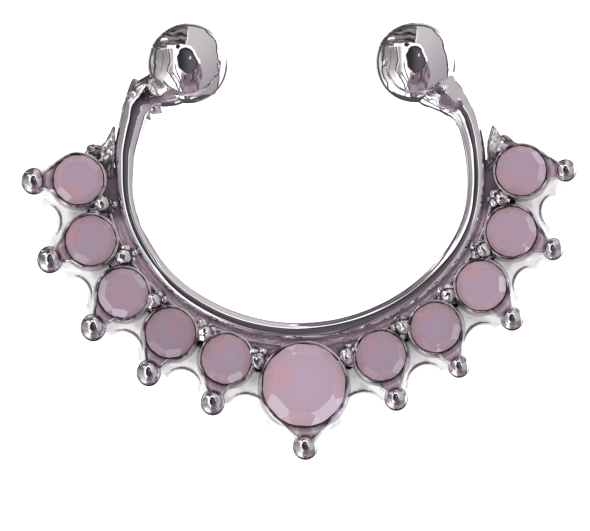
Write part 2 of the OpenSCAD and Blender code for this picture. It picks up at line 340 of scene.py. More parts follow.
lumps_left = [
    casting_lump("sprue_stub", [((-4.90, 3.04), 0.1), ((-4.86, 2.86), 0.21), ((-4.78, 2.55), 0.4)]),
    casting_lump("left_nib", [((-4.34, 2.24), 0.2), ((-4.22, 2.16), 0.09), ((-4.13, 2.11), 0.05)]),
    casting_lump("lower_nib", [((-4.56, 2.04), 0.12), ((-4.47, 1.92), 0.06)]),
]
lumps_right = [
    casting_lump("right_nib", [((4.86, 1.60), 0.14), ((4.76, 1.53), 0.06)]),
    casting_lump("seam_bump", [((4.58, 2.86), 0.07), ((4.64, 2.93), 0.05)]),
    casting_lump("lower_seam_bump", [((4.45, 2.60), 0.05), ((4.5, 2.66), 0.05)]),
]
neck_flash = join(lumps_left + lumps_right, "neck_flash")

# Where the left joint stays rough, the seam and the single pit of the right one
rough_spots = [(HOOP + Vector((-4.47, 2.99, WIRE_Z + 0.45)), 0.3), (HOOP + Vector((-4.46, 2.58, WIRE_Z + 0.45)), 0.22)]
pit_line = [HOOP + Vector((4.72, 2.98, WIRE_Z + 0.3)), HOOP + Vector((4.34, 2.42, WIRE_Z + 0.6))]
pit_spot = HOOP + Vector((4.55, 2.12, WIRE_Z + 0.35))


def roughness_at(co):
    left = max(1 - ease((co - at).length, 0.5 * r, 1.25 * r) for at, r in rough_spots)
    along = pit_line[1] - pit_line[0]
    t = max(0.0, min(1.0, (co - pit_line[0]).dot(along) / along.length_squared))
    seam = 0.8 * (1 - ease((co - pit_line[0] - t * along).length, 0.05, 0.14))
    return max(0.3 * left, 0.6 * seam, 0.4 * (1 - ease((co - pit_spot).length, 0.1, 0.25)))


def painted_joint_shade_at(co):
    """Grey painted shade in patches round the rough left joint"""
    patch = ease(math.sin(co.x * 9 + co.y * 4) * math.sin(co.y * 8 - co.x * 5), -0.3, 0.4)
    return max((0.35 + 0.3 * patch) * (1 - ease((co - at).length, 1.2 * r, 2.4 * r)) for at, r in rough_spots)


for piece in [hoop_wire, neck_flash, *balls]:
    paint(piece, "rough", roughness_at)
    paint(piece, "painted_shade", painted_joint_shade_at)
    finish_piece(piece, "ring_frame", rhodium, sharp=60)


# The crown is cast in one with the hoop: a low land beside the wire, a drafted cup under each stone, a sloping
# spur from each cup to its tip, and webs between the spurs with a hollowed edge.
CUP_R, LARGE_CUP_R = 0.85, 1.35
REACH, LARGE_REACH = 1.34, 1.84
FLOOR_Z, BACK_Z = 1.42, 0.0
DRAFT = 0.18
SPUR_WAYS = {1: 0.7, 2: -22.7, 3: -47.4, 4: -59.9, 5: -70.8}
# Radius at the foot and at the top, and height of both, of a spur's nose and of a web's outer foot
NOSE, WEB_FOOT = (0.3, 0.16, 0.35, 1.28), (0.16, 0.1, 0.1, 0.95)
WEB_R, WEB_Z = 0.5, 1.25
# How much further out the web after each cup reaches
FULLER = [0.2, 0.2, 0.0, 0.0, 0.0, 0.0, 0.0, 0.0, 0.2, 0.2]
LAND_OFF, LAND_Z, LAND_R = 0.37, 0.70, 0.6
# The finest grid that keeps the crown under 200,000 triangles
CROWN_GRID = 0.045


def stone_place(name):
    low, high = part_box(name)
    return (Vector(low) + Vector(high)) / 2 / MM, (high[0] - low[0]) / 2 / MM


cups = []
for side, word, order in ((-1, "left", (1, 2, 3, 4, 5)), (1, "right", (5, 4, 3, 2, 1))):
    if side == 1:
        at, r = stone_place("stone_centre")
        cups.append(dict(name="stone_centre", at=at, r=r, cup=LARGE_CUP_R, way=math.radians(-90), reach=LARGE_REACH))
    for k in order:
        at, r = stone_place(f"stone_{word}_{k}")
        way = math.radians(SPUR_WAYS[k] if side == 1 else 180 - SPUR_WAYS[k])
        cups.append(dict(name=f"stone_{word}_{k}", at=at, r=r, cup=CUP_R, way=way, reach=REACH))
for cup in cups:
    cup["out"] = Vector((math.cos(cup["way"]), math.sin(cup["way"]), 0))
    cup["at"].z = 0
    cup["tip"] = cup["at"] + cup["reach"] * cup["out"]


def taper(at, r_low, r_high, z_low, z_high, sides=64):
    bpy.ops.object.select_all(action="DESELECT")
    bpy.ops.mesh.primitive_cone_add(vertices=sides, radius1=r_low, radius2=r_high, depth=z_high - z_low,
                                    location=(at.x, at.y, (z_low + z_high) / 2))
    return settle(bpy.context.object)


solids, hollows = [], []
for cup in cups:
    body = taper(cup["at"], cup["cup"] + DRAFT, cup["cup"], BACK_Z, FLOOR_Z)
    nose = taper(cup["tip"] - 0.1 * cup["out"], *NOSE, 32)
    solids.append(hull([body, nose], "spur"))
for a, b, fuller in zip(cups, cups[1:], FULLER):
    foot_a, foot_b = a["tip"] - 0.28 * a["out"], b["tip"] - 0.28 * b["out"]
    web = hull([taper(a["at"], WEB_R, WEB_R, 0.0, WEB_Z, 16), taper(b["at"], WEB_R, WEB_R, 0.0, WEB_Z, 16),
                taper(foot_a, *WEB_FOOT, 16), taper(foot_b, *WEB_FOOT, 16)], "web")
    middle = (a["tip"] + b["tip"]) / 2
    span = (a["tip"] - b["tip"]).length / 2
    if "stone_centre" in (a["name"], b["name"]):
        small = b if a["name"] == "stone_centre" else a
        middle = middle.lerp(small["tip"], 0.3)
        span -= 0.35
    hollow_r = span - 0.46 - fuller
    hollow = taper(middle, hollow_r - 0.1, hollow_r, -0.1, 1.5)
    hollows.append((middle, hollow_r, ((a["at"] + b["at"]) / 2 - middle).normalized()))
    modify(web, "BOOLEAN", operation="DIFFERENCE", object=hollow, solver="EXACT")
    bpy.data.objects.remove(hollow)
    solids.append(web)
along_land = range(-96, 97, 4)
solids.append(sweep("land", [oval(a, LAND_OFF, LAND_Z) for a in along_land], [LAND_R] * len(along_land), 6, 3))
gallery = join(solids, "crown_gallery")
modify(gallery, "REMESH", mode="VOXEL", voxel_size=CROWN_GRID)
SEAT_GAP = 0.02
# Radii of the pits that stay between neighbouring cups, where the rubber mould did not fill
PITS = [0.03, 0.03, 0.03, 0.08, 0.15, 0.12, 0.04, 0.06, 0.03, 0.08]
pits = []
for a, b, size in zip(cups, cups[1:], PITS):
    way = (b["at"] - a["at"]).normalized()
    at = (a["at"] + a["cup"] * way + b["at"] - b["cup"] * way) / 2
    inward = Vector((-way.y, way.x, 0))
    pits.append((at + 0.12 * inward, size))
seats = join([taper(cup["at"], cup["r"] + SEAT_GAP, cup["r"] + SEAT_GAP, 1.1, 2.2) for cup in cups]
             + [taper(at, size * 0.6, size * 1.3, 0.7, 1.8, 12) for at, size in pits], "seats")
modify(gallery, "BOOLEAN", operation="DIFFERENCE", object=seats, solver="FAST")
bpy.data.objects.remove(seats)
modify(gallery, "SMOOTH", factor=0.5, iterations=4)


def painted_plum_shade_at(co):
    """Painted plum shade with the stones' colour mirrored in it: on the land, in the crevice round each stone and in
    the floor between a stone and its tip
    """
    beside = distance_to_hoop(co)
    value = 0.95 * (1 - ease(beside, 0.75, 0.95)) * ease(beside, 0.05, 0.2)
    for cup in cups:
        off = Vector((co.x, co.y, 0)) - cup["at"]
        far = off.length
        if far < cup["reach"]:
            along = off.dot(cup["out"])
            aside = (off - along * cup["out"]).length
            value = max(value, 1 - ease(far, cup["r"] + 0.04, cup["r"] + 0.12))
            if along > 0:
                value = max(value, 1 - ease(aside, 0.17, 0.24))
    return value * ease(co.z, 0.7, 0.9)


def painted_shade_at(co):
    """Painted shade in the pits, beside the horns, along the wire's foot, against the stones and round the cups' walls,
    and painted dark reflections in streaks along the land and along the webs' hollows
    """
    value = 0.0
    for at, size in pits:
        value = max(value, 0.9 * (1 - ease((Vector((co.x, co.y, 0)) - at).length, 0.8 * size, size + 0.03)))
    lean = math.degrees(math.atan2(abs(co.x), HOOP.y - co.y))
    far = distance_to_hoop(co)
    value = max(value, 0.85 * ease(lean, 76, 80) * (1 - ease(far, 0.6, 0.75)))
    value = max(value, 0.7 * (1 - ease(abs(far - 0.28), 0.01, 0.035)))
    # Painted dark streaks along the land, which stand in for the lines that it mirrors
    streak = math.sin(far * 40 + 2.2 * math.sin(lean * 0.4) + 1.3 * math.sin(lean * 0.93))
    value = max(value, 0.6 * ease(streak, 0.1, 0.8) * ease(far, 0.25, 0.3) * (1 - ease(far, 0.7, 0.85)))
    for cup in cups:
        far = (Vector((co.x, co.y, 0)) - cup["at"]).length
        value = max(value, 0.6 * (1 - ease(abs(far - cup["r"] - 0.04), 0.02, 0.05)))
        value = max(value, 0.55 * (1 - ease(abs(far - cup["cup"] - 0.015), 0.02, 0.05)))
    for middle, r, inward in hollows:
        off = Vector((co.x, co.y, 0)) - middle
        crescent = off.normalized().dot(inward)
        if crescent > 0.6:
            half = 0.045 * (crescent - 0.6) / 0.4
            value = max(value, 0.95 * (1 - ease(abs(off.length - r - 0.03), half * 0.6, half + 0.01)))
    return value


def satin_at(co, facing_up):
    """Satin on the webs and on slopes outside the walls, while the crown's upright sides are rubbed bright"""
    kept = 0.12 + 0.88 * max(ease(co.z, 0.55, 0.95), ease(facing_up, 0.1, 0.22))
    return ease(distance_to_hoop(co), 0.9, 1.3) * kept * (1 - 0.8 * painted_plum_shade_at(co))


paint(gallery, "painted_plum_shade", painted_plum_shade_at)
satin_layer = gallery.data.attributes.new("satin", "FLOAT", "POINT")
for cell, vertex in zip(satin_layer.data, gallery.data.vertices):
    cell.value = satin_at(vertex.co, vertex.normal.z)
paint(gallery, "painted_shade", painted_shade_at)
finish_piece(gallery, "ring_frame", rhodium, sharp=70)


# A thin wall wraps each stone and runs on to the tip bead. On the side away from the middle of the crown it
# runs straight; on the other side it hugs the stone first. It is cast with the cup, with a rounded, uneven top.
WALL_R, WALL_Z, WALL_HALF_H = 0.038, 1.42, 0.14
# How much the wall drops towards the tip, and where it ends there: short of the tip and off the spur's middle
WALL_DROP, END_SHORT, END_HALF = 0.12, 0.22, 0.17
walls = []
for cup in cups:
    r = cup["cup"] - 0.045
    reach = cup["reach"] - END_SHORT
    straight = math.acos((r - END_HALF) / reach)
    hugging = math.radians(24)
    left_turn = hugging if "left" in cup["name"] else straight
    right_turn = hugging if "right" in cup["name"] else straight
    line = []
    for i in range(41):
        a = cup["way"] + left_turn + (2 * math.pi - left_turn - right_turn) * i / 40
        line.append(cup["at"] + r * Vector((math.cos(a), math.sin(a), 0)))
    across = Vector((-cup["out"].y, cup["out"].x, 0))
    start, end = [cup["at"] + reach * cup["out"] + half * across for half in (END_HALF, -END_HALF)]
    path = [start.lerp(line[0], t / 8) for t in range(8)] + line + [line[-1].lerp(end, t / 8) for t in range(1, 9)]
    bpy.ops.object.select_all(action="DESELECT")
    bpy.ops.curve.primitive_bezier_curve_add()
    wall = bpy.context.object
    wall.data.splines.clear()
    strip = wall.data.splines.new("POLY")
    strip.points.add(len(path) - 1)
    for knot, at in zip(strip.points, path):
        drop = WALL_DROP * ease((at - cup["at"]).dot(cup["out"]), cup["cup"] * 0.6, reach)
        knot.co = (at.x, at.y, WALL_Z - drop, 1)
    wall.data.dimensions, wall.data.extrude, wall.data.bevel_depth = "3D", WALL_HALF_H, WALL_R
    wall.data.bevel_resolution, wall.data.use_fill_caps, wall.data.twist_mode = 3, True, "Z_UP"
    bpy.ops.object.convert(target="MESH")
    walls.append(wall)
# A low ridge runs along the land between the walls and the wire
RIDGE_OFF, RIDGE_Z, RIDGE_R = 0.45, 1.36, 0.045
along_ridge = range(-78, 79, 3)
ridge = sweep("ridge", [oval(a, RIDGE_OFF, RIDGE_Z) for a in along_ridge], [RIDGE_R] * len(along_ridge), 4, 3)
unevenness = bpy.data.textures.new("unevenness", "CLOUDS")
unevenness.noise_scale = 0.25
bezel_walls = join(walls + [ridge], "bezel_walls")
modify(bezel_walls, "DISPLACE", texture=unevenness, texture_coords="LOCAL", strength=0.045, mid_level=0.5)


def painted_wall_shade_at(co):
    """Painted dark reflections in stretches of the walls"""
    if distance_to_hoop(co) < 0.52:
        return 0.0
    patch = math.sin(co.x * 6.3) * math.sin(co.y * 7.1 + 1) + 0.4 * math.sin(co.x * 29 + co.y * 23)
    return 0.85 * ease(patch, 0.1, 0.5)


paint(bezel_walls, "painted_shade", painted_wall_shade_at)
finish_piece(bezel_walls, "ring_frame", rhodium, sharp=60)


# Each spur ends in a round bead of the same metal, cast with it in the mould. No two are quite alike, and those of
# the right side are smaller.
BEAD_SIZES = [0.385, 0.395, 0.395, 0.385, 0.37, 0.385, 0.365, 0.345, 0.35, 0.335, 0.335]
BEAD_Z = 1.283
beads = []
for cup, r in zip(cups, BEAD_SIZES):
    tall = 1.07 if "left" in cup["name"] else 1.03
    beads.append(round_blank(cup["tip"] + Vector((0, 0, BEAD_Z)), r, 5, scale=(0.98, tall, 1.0)))
tip_beads = join(beads, "tip_beads")


def painted_bead_shade_at(co):
    """Painted dark blotches, which stand in for reflections, and a painted dark foot below the bead's widest line,
    which stands in for its shade and gives it an outline
    """
    far = min((Vector((co.x, co.y, 0)) - cup["tip"]).length / r for cup, r in zip(cups, BEAD_SIZES))
    blotch = math.sin(co.x * 13 + 2) * math.sin(co.y * 15 + co.z * 9)
    return max(0.5 * ease(blotch, -0.1, 0.5), 0.8 * ease(far, 0.84, 0.94))


paint(tip_beads, "painted_shade", painted_bead_shade_at)
modify(tip_beads, "DISPLACE", texture=waves, texture_coords="LOCAL", strength=0.03, mid_level=0.5)
finish_piece(tip_beads, "ring_frame", rhodium, sharp=60)


# Small clusters of claws fill the corners on the hoop's side between neighbouring stones. They were cast as
# beads and pressed over, so they are lumpy and glitter.
def crossing(a, ra, b, rb):
    """Where two circles cross, on the hoop's side"""
    d = (b - a).length
    u = (b - a) / d
    along = (ra * ra - rb * rb + d * d) / (2 * d)
    return a + along * u + math.sqrt(max(0, ra * ra - along * along)) * Vector((-u.y, u.x, 0))


# The lumps of one cluster: how far in towards the hoop, how far aside, radius and height
CLAW = [(0.02, 0.04, 0.22, 1.49), (0.21, 0.13, 0.16, 1.45), (0.17, -0.14, 0.15, 1.44), (-0.16, -0.1, 0.12, 1.48),
        (0.08, 0.0, 0.32, 1.27), (0.33, -0.02, 0.12, 1.41)]
# How much further in each cluster sits
CLAW_SHIFTS = [0.13, 0.18, 0.02, 0.0, 0.0, 0.0, 0.0, 0.0, 0.03, 0.06]
CLAW_GRID = 0.022
lumps = bpy.data.textures.new("lumps", "CLOUDS")
lumps.noise_scale = 0.24
claws, lump_places = [], []
for a, b, shift in zip(cups, cups[1:], CLAW_SHIFTS):
    at = crossing(a["at"], a["cup"] + 0.17, b["at"], b["cup"] + 0.17)
    inward = (at - (a["at"] + b["at"]) / 2).normalized()
    at += shift * inward
    across = Vector((-inward.y, inward.x, 0)) * (1 if a["at"].x < 0 else -1)
    for far, aside, r, z in CLAW:
        # No two clusters are alike
        far += 0.04 * math.sin(5.1 * len(claws))
        aside += 0.05 * math.sin(3.7 * len(claws) + 1)
        r *= 1 + 0.14 * math.sin(7.3 * len(claws) + 2)
        lump_at = at + far * inward + aside * across + Vector((0, 0, z))
        claws.append(round_blank(lump_at, r, 4))
        lump_places.append((lump_at, r))
claw_clusters = join(claws, "claw_clusters")
modify(claw_clusters, "DISPLACE", texture=lumps, texture_coords="LOCAL", strength=0.12, mid_level=0.5)
modify(claw_clusters, "REMESH", mode="VOXEL", voxel_size=CLAW_GRID)


def crease_at(co):
    """Painted shade in the creases, where the skins of two lumps meet"""
    near = []
    for lump_at, r in lump_places:
        if abs(co.x - lump_at.x) < 0.4 and abs(co.y - lump_at.y) < 0.4:
            near.append((co - lump_at).length - r)
    near.sort()
    return 0.95 * (1 - ease(near[1] - near[0], 0.015, 0.05)) if len(near) > 1 else 0.0


paint(claw_clusters, "painted_shade", crease_at)
finish_piece(claw_clusters, "ring_frame", rhodium, sharp=60)


# A pointed horn stands at each end of the crown, between the end cup and the hoop, with a leaf-shaped bead at
# its foot. It is cast, and its face keeps small pits and grains.
HORN_GRID, HORN_LOW, HORN_HIGH = 0.04, 0.2, 1.2
# How far out the rough part of their faces reaches
ROUGH_END = 5.93
HORN_OUTLINE = {
    -1: [(-6.50, 0.78), (-6.42, 1.0), (-6.02, 1.02), (-5.80, 1.25), (-5.524, 1.752), (-5.50, 1.0), (-5.62, 0.1),
         (-6.0, 0.2)],
    1: [(6.66, 0.75), (6.617, 0.986), (6.25, 1.02), (6.0, 1.25), (5.823, 1.553), (5.66, 1.0), (5.62, 0.1),
        (6.0, 0.2)],
}
horns = []
for side, outline in HORN_OUTLINE.items():
    bpy.ops.object.select_all(action="DESELECT")
    bpy.ops.mesh.primitive_circle_add(vertices=len(outline), radius=1, fill_type="NGON")
    horn = bpy.context.object
    turned = outline if side == 1 else outline[::-1]
    for vertex, (x, y) in zip(horn.data.vertices, turned):
        vertex.co = HOOP + Vector((x, y, HORN_LOW))
    alone(horn)
    bpy.ops.object.mode_set(mode="EDIT")
    bpy.ops.mesh.select_all(action="SELECT")
    bpy.ops.mesh.extrude_region_move(TRANSFORM_OT_translate={"value": (0, 0, HORN_HIGH)})
    bpy.ops.object.mode_set(mode="OBJECT")
    modify(horn, "BEVEL", width=0.07, segments=3)
    modify(horn, "REMESH", mode="VOXEL", voxel_size=HORN_GRID)
    horns.append(horn)
# The leaf beads: place beside the hoop's middle, radius and turn
for x, y, r, turn in ((-6.12, 1.0, 0.19, -8), (6.25, 1.06, 0.15, 150)):
    horns.append(round_blank(HOOP + Vector((x, y, 1.42)), r, 4, math.radians(turn), (1.4, 0.75, 0.8)))
crown_horns = join(horns, "crown_horns")
modify(crown_horns, "DISPLACE", texture=lumps, texture_coords="LOCAL", strength=0.07, mid_level=0.5)
# Their faces slope away from the hoop, smooth on the outer side of the right horn
for vertex in crown_horns.data.vertices:
    vertex.co.z -= (0.2 if vertex.co.x < 0 else 0.38) * (abs(vertex.co.x) - 5.7) * ease(vertex.co.z, 0.6, 1.3)


def horn_edge_at(co):
    """Painted shade along the edges of a horn's face, in its pits and at its foot"""
    spots = [HOOP + Vector((x, y, 0)) for x, y in HORN_OUTLINE[1 if co.x > 0 else -1]]
    near = 1.0
    for a, b in zip(spots, spots[1:] + spots[:1]):
        t = max(0.0, min(1.0, (co - a).to_2d().dot((b - a).to_2d()) / (b - a).to_2d().length_squared))
        near = min(near, (co - a.lerp(b, t)).to_2d().length)
    pit = ease(math.sin(co.x * 33 + co.y * 2) * math.sin(co.y * 29 - co.x * 9), 0.25, 0.6)
    return max(0.8 * (1 - ease(near, 0.02, 0.075)), 0.85 * (1 - ease(co.y - HOOP.y, 0.6, 0.85)), 0.6 * pit)


paint(crown_horns, "rough", lambda co: 0.25 * ease(co.z, 1.0, 1.2) if abs(co.x) < ROUGH_END else 0.0)
paint(crown_horns, "satin", lambda co: 0.3 if abs(co.x) < ROUGH_END else 0.0)
# Painted shade on the horns' faces, and over their lower part near the hoop
paint(crown_horns, "painted_shade", lambda co: horn_edge_at(co) if co.z > 0.9 else 0.95 * (1 - ease(co.y - HOOP.y, 0.3, 0.5)))
finish_piece(crown_horns, "ring_frame", rhodium, sharp=40)


# The stones are opalite glass, a milky man-made glass. They are cut round with a flat table, and above the girdle
# with eight main facets, eight narrow ones along it and eight small ones at the table. They are glued in.
OPAL_MIDDLE = "#cbb4ca"
OPAL_EDGE = "#cbabb8"
OPAL_GLOW = "#dcaab4"
OPAL_PALE = "#e9dcef"
opal, tree, surface = new_material("cut_opalite_glass")
round_map = add_node(tree, "ShaderNodeUVMap", {"uv_map": "round"})
centred = add_node(tree, "ShaderNodeVectorMath", {"operation": "SUBTRACT", 1: (0.5, 0.5, 0)},
                   {0: round_map.outputs["UV"]})
far = add_node(tree, "ShaderNodeVectorMath", {"operation": "LENGTH"}, {0: centred.outputs["Vector"]})
spread = add_node(tree, "ShaderNodeMapRange", {"interpolation_type": "SMOOTHSTEP", "From Min": 0.12, "From Max": 0.5},
                  {"Value": far.outputs["Value"]})
milk = add_node(tree, "ShaderNodeMix", {"data_type": "RGBA"}, {"Factor": spread.outputs["Result"]})
milk.inputs[6].default_value, milk.inputs[7].default_value = linear(OPAL_MIDDLE), linear(OPAL_EDGE)
# Clouds of about half a millimetre in the milky glass, and a warm glow where the light passes through it
here = add_node(tree, "ShaderNodeTexCoord")
clouds = add_node(tree, "ShaderNodeTexNoise", {"Scale": 1900.0, "Detail": 2.0}, {"Vector": here.outputs["Object"]})
warm_map = add_node(tree, "ShaderNodeUVMap", {"uv_map": "warm"})
off_glow = add_node(tree, "ShaderNodeVectorMath", {"operation": "DISTANCE", 1: (0.5, 0.5, 0)},
                    {0: warm_map.outputs["UV"]})
uneven = add_node(tree, "ShaderNodeMath", {"operation": "MULTIPLY_ADD", 1: 0.35, 2: -0.17}, {0: clouds.outputs["Fac"]})
off_glow = add_node(tree, "ShaderNodeMath", {"operation": "ADD"},
                    {0: off_glow.outputs["Value"], 1: uneven.outputs["Value"]})
glow = add_node(tree, "ShaderNodeMapRange", {"interpolation_type": "SMOOTHSTEP", "From Min": 0.0, "From Max": 0.3,
                                             "To Min": 0.6, "To Max": 0.0}, {"Value": off_glow.outputs["Value"]})
warm = add_node(tree, "ShaderNodeMix", {"data_type": "RGBA"}, {"Factor": glow.outputs["Result"], 6: milk.outputs[2]})
warm.inputs[7].default_value = linear(OPAL_GLOW)
# Painted highlights: the facets that glint are made paler
pale = add_node(tree, "ShaderNodeAttribute", {"attribute_name": "pale"})
lit = add_node(tree, "ShaderNodeMix", {"data_type": "RGBA"}, {"Factor": pale.outputs["Fac"], 6: warm.outputs[2]})
lit.inputs[7].default_value = linear(OPAL_PALE)
# Some stones are milkier than others
milky = add_node(tree, "ShaderNodeAttribute", {"attribute_name": "milky"})
cast = add_node(tree, "ShaderNodeVectorMath", {"operation": "SCALE"},
                {0: lit.outputs[2], "Scale": milky.outputs["Fac"]})
tree.links.new(cast.outputs["Vector"], surface.inputs["Base Color"])
surface.inputs["Roughness"].default_value = 0.08
surface.inputs["IOR"].default_value = 1.52
surface.inputs["Specular IOR Level"].default_value = 0.3
surface.inputs["Subsurface Weight"].default_value = 0.25
surface.inputs["Subsurface Radius"].default_value = (1.0, 0.7, 0.9)
surface.inputs["Subsurface Scale"].default_value = 0.0003


def lap(at, way, steep, reach):
    """Grinds one facet: cuts with a plane whose normal leans steep degrees from upright, reach from the axis"""
    lean = math.radians(steep)
    normal = Vector((math.sin(lean) * math.cos(way), math.sin(lean) * math.sin(way), math.cos(lean)))
    bpy.ops.mesh.select_all(action="SELECT")
    bpy.ops.mesh.bisect(plane_co=at + normal * reach, plane_no=normal, use_fill=True, clear_outer=True)


# How each stone sits turned in its cup, and the facets that pass on the most light: way in degrees and strength
TURNS = {cup["name"]: math.radians(n * 17 % 45) for n, cup in enumerate(cups)}
GLINTS = {
    "stone_left_1": ((225, 0.5), (45, 0.3)), "stone_left_2": ((35, 0.4), (240, 0.25)),
    "stone_left_3": ((30, 0.5), (75, 0.3), (160, 0.6), (185, 0.8), (205, 0.6), (265, 1.0), (330, 0.5)),
    "stone_left_4": ((215, 0.3), (275, 0.6)),
    "stone_left_5": ((290, 0.8), (85, 0.25)),
    "stone_centre": ((220, 0.45), (110, 0.6), (310, 0.5), (330, 0.8), (292, 0.7)),
    "stone_right_5": ((330, 0.6), (20, 0.3)), "stone_right_4": ((350, 0.5), (275, 0.8)),
    "stone_right_3": ((5, 0.9), (95, 0.2)), "stone_right_2": ((30, 0.5), (310, 0.9)),
    "stone_right_1": ((40, 0.6), (350, 0.4)),
}
# How milky each stone is, against the rest
MILKY = [1.10, 1.0, 1.0, 0.86, 1.0, 1.3, 0.99, 1.0, 1.14, 1.1, 1.09]
MILK = 0.6
# Where the light passes through each stone, in shares of its radius
GLOWS = {
    "stone_left_1": (-0.3, -0.5), "stone_left_2": (-0.6, 0.1), "stone_left_3": (0.05, 0.0), "stone_left_4": (0.3, 0.4),
    "stone_left_5": (-0.2, 0.7), "stone_centre": (-0.5, 0.1), "stone_right_5": (-0.4, 0.3),
    "stone_right_4": (-0.5, 0.5), "stone_right_3": (-0.5, 0.5), "stone_right_2": (-0.3, -0.2),
    "stone_right_1": (-0.4, -0.3),
}
GIRDLE_Z = 1.59
# The slopes in degrees of the facets below the girdle, and how much steeper the narrow ones along it are
BACK_SLOPE, GIRDLE_STEEPER = 138, 8
for cup, milkiness in zip(cups, MILKY):
    low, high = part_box(cup["name"])
    r = cup["r"]
    middle = Vector((cup["at"].x, cup["at"].y, GIRDLE_Z))
    stone = taper(cup["at"], r, r, low[2] / MM, high[2] / MM)
    stone.name = "cut_" + cup["name"]
    alone(stone)
    bpy.ops.object.mode_set(mode="EDIT")
    turned = TURNS[cup["name"]]
    rise = high[2] / MM - GIRDLE_Z
    main = math.degrees(math.atan2(rise, 0.275 * r))
    star = main * 0.6
    star_reach = (0.735 * r + rise / math.tan(math.radians(star))) * math.sin(math.radians(star))
    for i in range(8):
        way = turned + i * math.pi / 4
        lap(middle, way, main, 0.985 * r * math.sin(math.radians(main)))
        lap(middle, way + math.pi / 8, main + GIRDLE_STEEPER, r * math.sin(math.radians(main + GIRDLE_STEEPER)))
        lap(middle, way + math.pi / 8, star, star_reach)
        lap(middle, way, BACK_SLOPE, 0.99 * r * math.sin(math.radians(BACK_SLOPE)))
    bpy.ops.object.mode_set(mode="OBJECT")
    modify(stone, "BEVEL", width=0.012, segments=2, limit_method="ANGLE", angle_limit=math.radians(10))
    for name, centre in (("round", cup["at"]), ("warm", cup["at"] + r * Vector((*GLOWS[cup["name"]], 0)))):
        flat = stone.data.uv_layers.new(name=name)
        for loop in stone.data.loops:
            off = stone.data.vertices[loop.vertex_index].co - centre
            flat.data[loop.index].uv = (0.5 + off.x / r / 2, 0.5 + off.y / r / 2)
    lit_faces = stone.data.attributes.new("pale", "FLOAT", "FACE")
    for face in stone.data.polygons:
        tilt = math.degrees(face.normal.angle(Vector((0, 0, 1))))
        facing = math.degrees(math.atan2(face.normal.y, face.normal.x)) % 360
        for way, strength in GLINTS[cup["name"]]:
            if 20 < tilt < 70 and abs((facing - way + 180) % 360 - 180) < 14:
                lit_faces.data[face.index].value = strength
    paint(stone, "milky", lambda co: MILK * milkiness)
    finish_piece(stone, cup["name"], opal, sharp=8)


# The ring lies on a plain white board under a soft white tent. Dark gaps in the tent, a lilac card on the right
# and the dark opening above are what the metal mirrors; the board glows a little from the light under it.
BOARD_WHITE = "#f4f3f4"
BOARD_SIZE, BOARD_GLOW = 0.4, 0.8
bpy.ops.object.select_all(action="DESELECT")
bpy.ops.mesh.primitive_plane_add(size=BOARD_SIZE, location=(0, 0, 0))
board = bpy.context.object
board.name = "board"
white, tree, surface = new_material("matt_white_board")
surface.inputs["Base Color"].default_value = linear(BOARD_WHITE)
surface.inputs["Roughness"].default_value = 0.9
surface.inputs["Emission Color"].default_value = (1, 1, 1, 1)
surface.inputs["Emission Strength"].default_value = BOARD_GLOW
board.data.materials.append(white)
board.visible_glossy = False

world = bpy.data.worlds.new("tent")
bpy.context.scene.world = world
world.use_nodes = True
tree = world.node_tree
backdrop = tree.nodes["Background"]
# The tent is laid out as a mirror ball under the camera shows it: how far across, how far up, and how far from
# the ball's middle, where 1 is the ball's edge
place = add_node(tree, "ShaderNodeTexCoord")
half_way = add_node(tree, "ShaderNodeVectorMath", {"operation": "ADD", 1: back_way}, {0: place.outputs["Generated"]})
facing = add_node(tree, "ShaderNodeVectorMath", {"operation": "NORMALIZE"}, {0: half_way.outputs["Vector"]})
across = add_node(tree, "ShaderNodeVectorMath", {"operation": "DOT_PRODUCT", 1: right_way},
                  {0: facing.outputs["Vector"]}).outputs["Value"]
up = add_node(tree, "ShaderNodeVectorMath", {"operation": "DOT_PRODUCT", 1: up_way},
              {0: facing.outputs["Vector"]}).outputs["Value"]
squares = add_node(tree, "ShaderNodeMath", {"operation": "MULTIPLY"}, {0: across, 1: across})
squares = add_node(tree, "ShaderNodeMath", {"operation": "MULTIPLY_ADD"}, {0: up, 1: up, 2: squares.outputs["Value"]})
from_middle = add_node(tree, "ShaderNodeMath", {"operation": "SQRT"}, {0: squares.outputs["Value"]}).outputs["Value"]

# The tent's cloth hangs a little wavy, so every edge in it bends
spot_on_tent = add_node(tree, "ShaderNodeCombineXYZ", {"Z": 1.0}, {"X": across, "Y": up})
for scale, amount in ((3.2, 0.15), (14.0, 0.03)):
    wave = add_node(tree, "ShaderNodeTexNoise", {"Scale": scale, "Detail": 1.0},
                    {"Vector": spot_on_tent.outputs["Vector"]})
    wave = add_node(tree, "ShaderNodeVectorMath", {"operation": "MULTIPLY_ADD", 1: (amount, amount, 0),
                                                   2: (-amount / 2, -amount / 2, 0)}, {0: wave.outputs["Color"]})
    spot_on_tent = add_node(tree, "ShaderNodeVectorMath", {"operation": "ADD"},
                            {0: spot_on_tent.outputs["Vector"], 1: wave.outputs["Vector"]})
wavy = spot_on_tent.outputs["Vector"]


def fade(mask, value, low, high):
    """Keeps a mask where a value has passed from low to high, with a smooth step between. None is a whole mask."""
    edge = add_node(tree, "ShaderNodeMapRange", {"interpolation_type": "SMOOTHSTEP", "From Min": low, "From Max": high},
                    {"Value": value}).outputs["Result"]
    if mask is None:
        return edge
    return add_node(tree, "ShaderNodeMath", {"operation": "MULTIPLY"}, {0: mask, 1: edge}).outputs["Value"]


